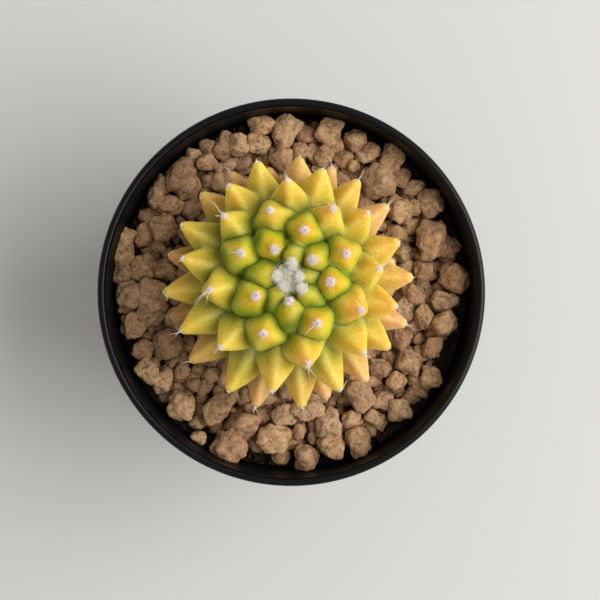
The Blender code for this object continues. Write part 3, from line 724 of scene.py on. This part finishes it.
def potMaterial():
    # black polypropylene, injection moulded: a satin skin dulled by dust, worn smooth along the lip,
    # where it takes a narrow highlight, with a faint mould grain, drawn coarser than real to show at all
    material, shader, add = newMaterial(
        "black polypropylene, injection moulded", IOR=1.49, Specular_IOR_Level=0.19)
    place = add("TexCoord")
    grain = add("TexNoise", {0: (place, "Object"), "Scale": 1 / (0.25 * mm), "Detail": 3.0})
    dust = add("TexNoise", {0: (place, "Object"), "Scale": 1 / (9 * mm), "Detail": 6.0,
                            "Roughness": 0.68})
    dusty = add("MapRange", {0: (dust, "Fac"), 1: 0.5, 2: 0.85, 3: 0.0, 4: 0.4})
    colour = add("MixRGB", {0: (dusty, 0), 1: "#08090A", 2: "#1C1C1C"})
    rough = add("MapRange", {0: (dust, "Fac"), 1: 0.3, 2: 0.7, 3: 0.5, 4: 0.65})
    axes = add("SeparateXYZ", {0: (place, "Object")})
    start, end = ((rimZ - below) * mm for below in pot["worn"])
    worn = add("MapRange", {0: (axes, "Z"), 1: start, 2: end, 3: 1.0, 4: 0.5})
    satin = add("Math", {0: (rough, 0), 1: (worn, 0)}, operation="MULTIPLY")
    bump = add("Bump", {"Height": (grain, "Fac"), "Strength": 0.15, "Distance": 0.05 * mm})
    joinTo(material, shader, Base_Color=(colour, 0), Roughness=(satin, 0), Normal=(bump, 0))
    return material


def addPot():
    mesh = meshFrom("nursery_pot", *turned(potProfile(), pot["segments"]))
    low, high = pot["drilled"]
    drill, sides = turned([(0, low), (pot["holeRadius"], low), (pot["holeRadius"], high), (0, high)], 40)
    drills = [(drill, sides, np.zeros(len(drill)))]
    for angle in np.arange(pot["holes"]) * math.tau / pot["holes"]:
        middle = (pot["holeRing"] * math.cos(angle), pot["holeRing"] * math.sin(angle), 0)
        drills.append((drill + middle, sides, np.zeros(len(drill))))
    points, faces, _ = stacked(drills)
    cutter = bpy.data.objects.new("drills", meshFrom("drills", points, faces))
    bpy.context.scene.collection.objects.link(cutter)
    cut = {"operation": "DIFFERENCE", "object": cutter, "solver": "MANIFOLD"}
    mesh = modified(mesh, ("BOOLEAN", cut))
    bpy.data.objects.remove(cutter, do_unlink=True)
    addPiece("nursery_pot", mesh, potMaterial(), "pot", sharpDegrees=35)


# Gravel: dry fired-clay granules on dark potting mix

gravel = {
    # the granules that the photo shows, read one by one: where each lies, and its radius, in mm
    "high": (
        (-6.4, 35.3, 2.5), (-1.0, 34.5, 2.9), (2.9, 33.4, 1.7), (8.0, 33.8, 2.8), (13.3, 32.0, 2.4),
        (16.1, 29.4, 2.1), (9.6, 31.0, 1.6), (11.0, 28.3, 1.7), (13.1, 26.7, 1.6), (6.9, 29.0, 1.9),
        (1.8, 29.7, 1.8), (-1.7, 28.0, 2.4), (-7.3, 31.5, 2.1), (-11.4, 31.1, 2.5), (-14.2, 31.0, 2.2),
        (-17.3, 30.7, 1.8), (-18.0, 27.6, 2.2), (-20.8, 28.8, 1.6), (-23.3, 25.0, 3.0),
        (-21.7, 22.0, 2.4), (-27.3, 23.0, 1.7), (-28.5, 19.9, 2.2), (-25.4, 18.5, 2.1),
        (-26.8, 13.5, 2.8), (-35.4, 11.6, 2.0), (-35.6, 8.6, 2.6), (-35.6, 4.4, 2.1), (-31.3, 5.1, 2.6),
        (-34.2, -0.2, 2.5), (-29.2, -0.9, 3.1), (-33.4, -7.0, 2.7), (-29.6, -4.0, 2.6),
        (-31.4, -12.2, 2.0), (-26.4, -11.0, 2.8), (-30.3, -16.6, 2.4), (-27.5, -18.7, 2.1),
        (-22.9, -23.8, 3.0), (-15.9, -24.6, 2.8), (-19.7, -30.8, 1.5), (-12.8, -32.4, 3.4),
        (-10.2, -28.2, 3.0), (-3.8, -30.8, 2.8), (-1.7, -25.9, 2.3), (1.5, -29.3, 1.6),
        (3.6, -24.4, 2.8), (3.2, -34.4, 2.5), (7.6, -27.7, 2.7), (8.9, -32.4, 2.8), (12.8, -26.5, 2.1),
        (14.0, -31.7, 2.6), (14.8, -22.0, 3.0), (17.0, -26.2, 1.8), (22.6, -24.9, 2.4),
        (19.4, -22.8, 2.0), (22.1, -18.8, 2.2), (24.6, -14.6, 2.6), (18.5, -15.8, 1.9),
        (29.7, -11.8, 2.2), (22.9, -9.7, 2.2), (27.9, -5.0, 2.3), (32.3, -6.6, 2.9), (29.5, -17.8, 2.2),
        (24.2, -3.2, 2.0), (25.7, -0.2, 2.2), (32.4, -2.0, 2.3), (34.1, 2.8, 2.9), (27.8, 4.6, 2.2),
        (29.8, 10.8, 3.5), (23.1, 17.4, 2.4), (25.8, 18.0, 2.0), (29.6, 18.9, 2.7), (26.1, 22.0, 1.8),
        (23.4, 24.2, 1.8), (21.2, 28.1, 2.8), (18.3, 23.2, 3.2)),
    "low": (
        (5.0, 35.2, 1.3), (5.0, 29.7, 2.1), (-3.8, 30.0, 1.6), (-10.3, 27.6, 1.8), (-21.2, 17.8, 2.1),
        (-30.8, 16.3, 1.7), (-31.0, 12.3, 2.5), (-26.9, 4.7, 2.4), (-21.9, -11.0, 1.9),
        (-23.6, -17.1, 1.8), (-19.7, -16.4, 1.5), (-20.8, -19.6, 1.6), (-16.9, -17.5, 1.8),
        (-26.8, -22.0, 1.4), (-20.1, -27.8, 1.6), (-7.5, -32.6, 1.6), (-6.1, -26.6, 2.0),
        (-12.7, -22.0, 1.6), (-9.5, -21.7, 1.5), (-2.0, -34.4, 1.8), (5.0, -28.4, 1.4),
        (18.7, -27.4, 1.8), (27.1, -13.2, 1.8), (30.1, -8.8, 1.8), (26.4, -18.9, 1.8),
        (27.7, -20.8, 1.6), (20.4, -13.6, 1.6), (17.2, -18.5, 1.7), (25.0, -22.5, 1.5),
        (30.4, 5.1, 1.3), (29.0, -0.9, 1.3), (34.5, -2.0, 1.2), (33.2, 9.6, 2.4), (21.9, 12.4, 2.2),
        (27.4, 16.0, 1.3), (15.1, 19.2, 1.7), (11.0, 24.2, 1.7), (20.9, 7.0, 1.6), (8.2, -23.8, 1.1),
        (10.9, -22.9, 1.0), (22.8, -1.3, 1.5), (28.5, 1.6, 1.2), (-34.9, -3.4, 1.8)),
    "highRise": 1.0, "lowRise": -0.6,  # mm, how far they are set above the bed's own level
    # the rest fill the room that these leave, each at the roomiest of a number of spots
    "fillers": 150, "spots": 80, "fillerRadius": (0.8, 2.4),
    "fillerReach": (10.0, 33.5),  # mm from the pot's middle
    "fillerRise": (0.5, 1.2),  # above the bed, in radii
    # a lower layer that shows in the gaps
    "lower": 420, "lowerRadius": (0.9, 1.9), "lowerReach": (12.0, 34.0), "lowerDepth": (-0.5, 0.8),
    # mm: this near the stem's middle line, none reaches higher over the bed
    "plantReach": 25.0, "underPlant": 3.4,
    "planes": 10,  # faces of a granule, with a few more opposite the first
    "edge": 9,  # the higher, the sharper a granule's edges
    "rough": 0.21,  # how far its surface is thrown up and down, as a share of its radius
    "trim": (0.6, 1.12),  # its least and greatest radius before that
    "shapes": 48,  # different ones, which are turned and drawn out at random
    "largeFrom": 1.8,  # mm, the radius from which a granule gets the finer mesh
    "groupOf": 150,  # the most granules in one piece
    "crumbs": 520, "crumbRadius": (0.2, 0.65), "crumbBand": 3.0,  # mm, along the wall
    "bedRings": 34, "bedSegments": 120,
    "seed": 23,
}


def bedded(rng):
    # middles and radii of all the granules
    rows = [(x, y, bedZ + 0.75 * radius + gravel[rise], radius)
            for key, rise in (("high", "highRise"), ("low", "lowRise")) for x, y, radius in gravel[key]]
    taken = np.array(rows)
    stem = np.array([plant["x"], plant["y"]])
    nearest, furthest = gravel["fillerReach"]
    for _ in range(gravel["fillers"]):
        out = np.sqrt(rng.uniform(nearest ** 2, furthest ** 2, gravel["spots"]))
        angle = rng.uniform(0, math.tau, gravel["spots"])
        spots = np.stack([out * np.cos(angle), out * np.sin(angle)], axis=1)
        room = (np.linalg.norm(spots[:, None] - taken[None, :, :2], axis=2) - taken[None, :, 3]).min(1)
        room = np.minimum(room, np.linalg.norm(spots - stem, axis=1) - plant["neckRadius"] - 2.0)
        radius = np.clip(room.max() * 1.15, *gravel["fillerRadius"])
        z = bedZ + radius * rng.uniform(*gravel["fillerRise"])
        taken = np.vstack([taken, (*spots[room.argmax()], z, radius)])
    away = np.linalg.norm(taken[:, :2] - stem, axis=1)
    highest = np.where(away < gravel["plantReach"], bedZ + gravel["underPlant"] - taken[:, 3], np.inf)
    taken[:, 2] = np.minimum(taken[:, 2], highest)
    count = gravel["lower"]
    under = rng.uniform(*gravel["lowerRadius"], count)
    nearest, furthest = gravel["lowerReach"]
    out = np.sqrt(nearest ** 2 + (furthest ** 2 - nearest ** 2) * (np.arange(count) + 0.5) / count)
    angle = np.arange(count) * math.radians(137.5)  # the golden angle, which spaces them evenly
    z = bedZ - rng.uniform(*gravel["lowerDepth"], count)
    lower = np.stack([out * np.cos(angle), out * np.sin(angle), z], axis=1)
    return np.concatenate([taken[:, :3], lower]), np.concatenate([taken[:, 3], under])


def granuleShapes(rng, subdivisions, count):
    # softened hulls of random planes with rough, pitted faces
    unit, faces = ball(subdivisions)
    shapes = []
    for number in range(count):
        planes = rng.normal(size=(gravel["planes"], 3))
        planes /= np.linalg.norm(planes, axis=1, keepdims=True)
        planes = np.concatenate([planes, -planes[:4]])
        facing = np.clip(unit @ planes.T, 0, None) / rng.uniform(0.7, 1.05, len(planes))
        radius = np.clip((facing ** gravel["edge"]).sum(1) ** (-1 / gravel["edge"]), *gravel["trim"])
        offset = number * 5.1
        fine = 0.5 * noiseAt(unit, 3.6, offset) + 0.14 * noiseAt(unit, 9.0, offset)
        knobs = noiseAt(unit, 1.7, offset + 50) + fine
        depth = np.clip(0.4 - 1.2 * fine - 0.4 * knobs, 0, 1)  # how deep in a hollow each point lies
        shapes.append((unit * (radius * (1 + gravel["rough"] * knobs))[:, None], depth))
    return shapes, faces


def scattered(rng, places, radii, shapes, faces):
    # one of the shapes at each place, tilted, drawn out one way and turned, with a shade of its own
    parts = []
    for place, radius in zip(places, radii):
        unit, depth = shapes[rng.integers(len(shapes))]
        tilt = np.array(Matrix.Rotation(rng.uniform(0, math.pi), 3, "X"))
        turn = np.array(Matrix.Rotation(rng.uniform(0, math.tau), 3, "Z"))
        scale = radius * rng.uniform((1.12, 1.02, 0.82), (1.28, 1.18, 1.0))
        values = np.stack([np.full(len(unit), rng.uniform(0, 1)), depth], axis=1)
        parts.append(((unit @ tilt.T * scale) @ turn.T + place, faces, values))
    return stacked(parts)


def granuleMaterial():
    # fired clay granule, crushed: bone dry and porous, so quite matt, with painted shade in its hollows
    # and pits and on the granules lowest down, and each granule a tan or brown of its own
    material, shader, add = newMaterial("clay granule, crushed", Roughness=0.95, Specular_IOR_Level=0.2)
    tone = add("Attribute", attribute_name="tone")
    place = add("TexCoord")
    cloud = add("TexNoise", {0: (place, "Object"), "Scale": 1 / (2.2 * mm), "Detail": 5.0,
                             "Roughness": 0.65})
    grain = add("TexNoise", {0: (place, "Object"), "Scale": 1 / (0.45 * mm), "Detail": 4.0,
                             "Roughness": 0.7})
    pores = add("TexVoronoi", {0: (place, "Object"), "Scale": 1 / (0.9 * mm)})
    own = add("ValToRGB", {0: (tone, "Fac")}, stops=[
        (0.0, "#A68060"), (0.3, "#BA926B"), (0.55, "#CBA277"), (0.8, "#BC9A76"), (1.0, "#B38B67")])
    hollow = add("Attribute", attribute_name="hollow")
    dark = add("MapRange", {0: (cloud, "Fac"), 1: 0.35, 2: 0.65, 3: 0.4, 4: 0.0})
    clouded = add("MixRGB", {0: (dark, 0), 1: (own, 0), 2: "#7A5C42"})
    # painted shade: darker in the hollows and pits of each granule
    deep = add("MapRange", {0: (hollow, "Fac"), 1: 0.4, 2: 0.9, 3: 0.0, 4: 0.6})
    pitted = add("MixRGB", {0: (deep, 0), 1: (clouded, 0), 2: "#55412A"})
    axes = add("SeparateXYZ", {0: (place, "Object")})
    # painted shade: the granules are drawn darker towards the bed, where they lie in each other's shade
    bottom, top = (bedZ - 1) * mm, (bedZ + 2.5) * mm
    low = add("MapRange", {0: (axes, "Z"), 1: bottom, 2: top, 3: 0.55, 4: 0.0})
    shaded = add("MixRGB", {0: (low, 0), 1: (pitted, 0), 2: "#4A3A28"})
    fleck = add("MapRange", {0: (grain, "Fac"), 1: 0.36, 2: 0.64, 3: 0.76, 4: 1.24})
    flecked = add("MixRGB", {0: 1.0, 1: (shaded, 0), 2: (fleck, 0)}, blend_type="MULTIPLY")
    hole = add("MapRange", {0: (pores, "Distance"), 1: 0.08, 2: 0.3, 3: 0.0, 4: 1.0})
    height = add("Math", {0: (grain, "Fac"), 1: 0.9, 2: (hole, 0)}, operation="MULTIPLY_ADD")
    bump = add("Bump", {"Height": (height, 0), "Strength": 0.8, "Distance": 0.25 * mm})
    joinTo(material, shader, Base_Color=(flecked, 0), Normal=(bump, 0))
    return material


def soilMaterial():
    # potting mix, damp: peat and bark crumbs, near black with red-brown flecks
    material, shader, add = newMaterial("potting mix, damp", Roughness=0.9, Specular_IOR_Level=0.25)
    place = add("TexCoord")
    crumbs = add("TexNoise", {0: (place, "Object"), "Scale": 1 / (1.2 * mm), "Detail": 6.0,
                              "Roughness": 0.7})
    colour = add("ValToRGB", {0: (crumbs, "Fac")}, stops=[
        (0.3, "#17110B"), (0.5, "#261A12"), (0.62, "#3E2A1C"), (0.75, "#5C3E2A")])
    bump = add("Bump", {"Height": (crumbs, "Fac"), "Strength": 0.9, "Distance": 0.5 * mm})
    joinTo(material, shader, Base_Color=(colour, 0), Normal=(bump, 0))
    return material


def addBed(rng, material):
    # the lumpy dark ground that shows between the granules, closed below, with crumbs along the wall
    rings, surface = gravel["bedRings"], bedZ - 0.4
    outer = collarInner(bedZ) - 0.35
    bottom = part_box("gravel")[0].z / mm
    step = rimZ - pot["collar"]
    profile = [(0.0, bottom), (bodyInner(bottom) - 0.4, bottom), (bodyInner(step) - 0.4, step - 1.2),
               (outer - 0.4, step + 2.0)]
    profile += [(outer * (1 - ring / rings), surface) for ring in range(rings)] + [(0.0, surface)]
    points, faces = turned(profile, gravel["bedSegments"])
    top = points[:, 2] > surface - 0.1
    points[top, 2] += 0.9 * noiseAt(points[top], 0.8, 0) + 0.5 * noiseAt(points[top], 2.1, 9)
    count = gravel["crumbs"]
    out = outer - np.abs(rng.normal(0, gravel["crumbBand"], count))
    angle = rng.uniform(0, math.tau, count)
    radii = rng.uniform(*gravel["crumbRadius"], count)
    heights = bedZ + rng.uniform(-0.3, 0.5, count)
    places = np.stack([out * np.cos(angle), out * np.sin(angle), heights], axis=1)
    places[:, :2] *= (1 - np.maximum(0, radii * 1.3 - (outer - out)) / out)[:, None]  # off the wall
    crumbs = scattered(rng, places, radii, *granuleShapes(rng, 2, 10))
    points, faces, _ = stacked([(points, faces, np.zeros((len(points), 2))), crumbs])
    addPiece("gravel_bed", meshFrom("gravel_bed", points, faces), material, "gravel")


def addGravel():
    rng = np.random.default_rng(gravel["seed"])
    places, radii = bedded(rng)
    material = granuleMaterial()
    large = radii > gravel["largeFrom"]
    for name, chosen, subdivisions in (("granules", large, 4), ("small_granules", ~large, 3)):
        shapes = granuleShapes(rng, subdivisions, gravel["shapes"])
        chosen = np.flatnonzero(chosen)
        groups = np.array_split(chosen, math.ceil(len(chosen) / gravel["groupOf"]))
        for number, group in enumerate(groups):
            points, faces, values = scattered(rng, places[group], radii[group], *shapes)
            wall = (collarInner(points[:, 2]) - 0.1) / np.linalg.norm(points[:, :2], axis=1)
            points[:, :2] *= np.minimum(1, wall)[:, None]  # pressed flat where they meet the wall
            mesh = meshFrom(name, points, faces, tone=values[:, 0], hollow=values[:, 1])
            addPiece(f"{name}_{number + 1}", mesh, material, "gravel")
    soil = soilMaterial()
    addBed(rng, soil)
    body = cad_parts["soil"].data
    body.materials.clear()
    body.materials.append(soil)


# Floor, light and camera

studio = {
    "floor": "#C9C8C5",
    "world": "#ECEBE9", "worldStrength": 0.6,
    "keyPower": 8.5, "keySize": 0.75, "keyPlace": (0.57, 0.02, 0.6),  # W, m
}


def addStudio():
    scene = bpy.context.scene
    scene.view_settings.view_transform = "Standard"
    bpy.ops.mesh.primitive_plane_add(size=6.0)
    floor = bpy.context.object
    floor.name = "floor"
    material, shader, _ = newMaterial("matt paper, pressed", Roughness=0.85)  # plain, with no shine
    shader.inputs["Base Color"].default_value = hexColour(studio["floor"])
    floor.data.materials.append(material)
    world = bpy.data.worlds.new("studio")
    world.use_nodes = True
    background = world.node_tree.nodes["Background"]
    background.inputs["Color"].default_value = hexColour(studio["world"])
    background.inputs["Strength"].default_value = studio["worldStrength"]
    scene.world = world
    light = bpy.data.lights.new("key", "AREA")
    light.energy, light.size = studio["keyPower"], studio["keySize"]
    lamp = bpy.data.objects.new("key", light)
    lamp.location = studio["keyPlace"]
    aim = Vector((0, 0, rimZ * mm)) - lamp.location
    lamp.rotation_euler = aim.to_track_quat("-Z", "Y").to_euler()
    scene.collection.objects.link(lamp)
    lens = bpy.data.cameras.new("camera")
    lens.lens, lens.sensor_width, lens.clip_start = view["lens"], view["sensor"], 0.01
    camera = bpy.data.objects.new("camera", lens)
    camera.location = Vector((*view["camera"], rimZ + view["aboveRim"])) * mm
    scene.collection.objects.link(camera)
    scene.camera = camera


print("pot")
addPot()
print("gravel and soil")
addGravel()
print("plant")
addFlesh()
addAreoleWool()
addCrownWool()
addSpines()
print("floor, light and camera")
addStudio()
